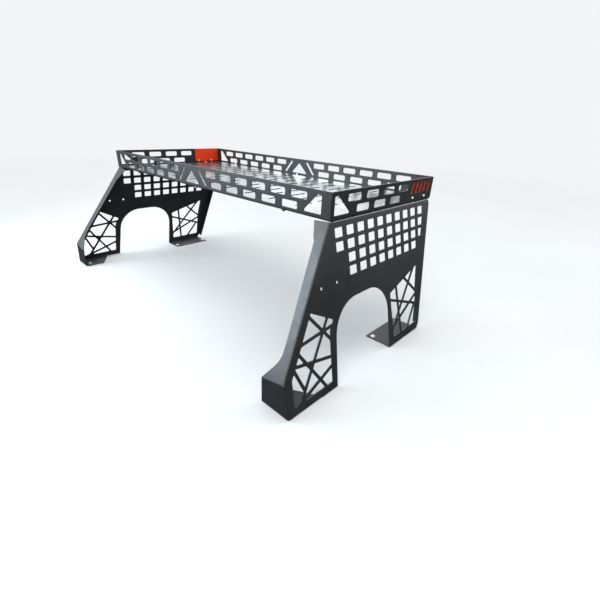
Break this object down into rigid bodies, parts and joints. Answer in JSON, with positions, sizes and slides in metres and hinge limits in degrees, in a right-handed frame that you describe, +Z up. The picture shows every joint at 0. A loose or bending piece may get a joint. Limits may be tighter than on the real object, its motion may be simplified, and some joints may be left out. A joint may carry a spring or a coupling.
{
  "type": "headache rack",
  "caption": "Bed-mounted headache rack: slotted cargo tray with pierced rails on two leaning, cut-out side panels with foot flanges.",
  "frame": {"origin": "on the ground plane under the feet, below the middle of the rack's whole width and length", "axes": "+X to the vehicle's right, +Y forward towards the cab, +Z up"},
  "size_m": [1.4604, 0.774, 0.5073],
  "materials": {
    "black_powder_coat": "satin",
    "gloss_black_powder_coat": "gloss",
    "orange_powder_coat": "satin",
    "bright_zinc": "bright zinc"
  },
  "bodies": {
    "root": {"front_rail": "black_powder_coat", "front_rail_bolt_1": "bright_zinc", "front_rail_bolt_2": "bright_zinc", "front_rail_bolt_3": "bright_zinc", "front_rail_nut_1": "bright_zinc", "front_rail_nut_2": "bright_zinc", "front_rail_nut_3": "bright_zinc", "left_badge_bolt_1": "bright_zinc", "left_badge_bolt_2": "bright_zinc", "left_badge_nut_1": "bright_zinc", "left_badge_nut_2": "bright_zinc", "left_badge_plate": "orange_powder_coat", "left_front_foot_bolt_1": "bright_zinc", "left_front_foot_bolt_2": "bright_zinc", "left_front_foot_washer_1": "bright_zinc", "left_front_foot_washer_2": "bright_zinc", "left_rail": "black_powder_coat", "left_rear_foot_bolt_1": "bright_zinc", "left_rear_foot_washer_1": "bright_zinc", "left_side_panel": "black_powder_coat", "left_tray_bolt_1": "bright_zinc", "left_tray_bolt_2": "bright_zinc", "left_tray_bolt_3": "bright_zinc", "left_tray_nut_1": "bright_zinc", "left_tray_nut_2": "bright_zinc", "left_tray_nut_3": "bright_zinc", "rear_rail": "black_powder_coat", "rear_rail_bolt_1": "bright_zinc", "rear_rail_bolt_2": "bright_zinc", "rear_rail_bolt_3": "bright_zinc", "rear_rail_nut_1": "bright_zinc", "rear_rail_nut_2": "bright_zinc", "rear_rail_nut_3": "bright_zinc", "right_badge_bolt_1": "bright_zinc", "right_badge_bolt_2": "bright_zinc", "right_badge_nut_1": "bright_zinc", "right_badge_nut_2": "bright_zinc", "right_badge_plate": "orange_powder_coat", "right_front_foot_bolt_1": "bright_zinc", "right_front_foot_bolt_2": "bright_zinc", "right_front_foot_washer_1": "bright_zinc", "right_front_foot_washer_2": "bright_zinc", "right_rail": "black_powder_coat", "right_rear_foot_bolt_1": "bright_zinc", "right_rear_foot_washer_1": "bright_zinc", "right_side_panel": "black_powder_coat", "right_tray_bolt_1": "bright_zinc", "right_tray_bolt_2": "bright_zinc", "right_tray_bolt_3": "bright_zinc", "right_tray_nut_1": "bright_zinc", "right_tray_nut_2": "bright_zinc", "right_tray_nut_3": "bright_zinc", "tray_floor": "gloss_black_powder_coat"}
  },
  "joints": []
}
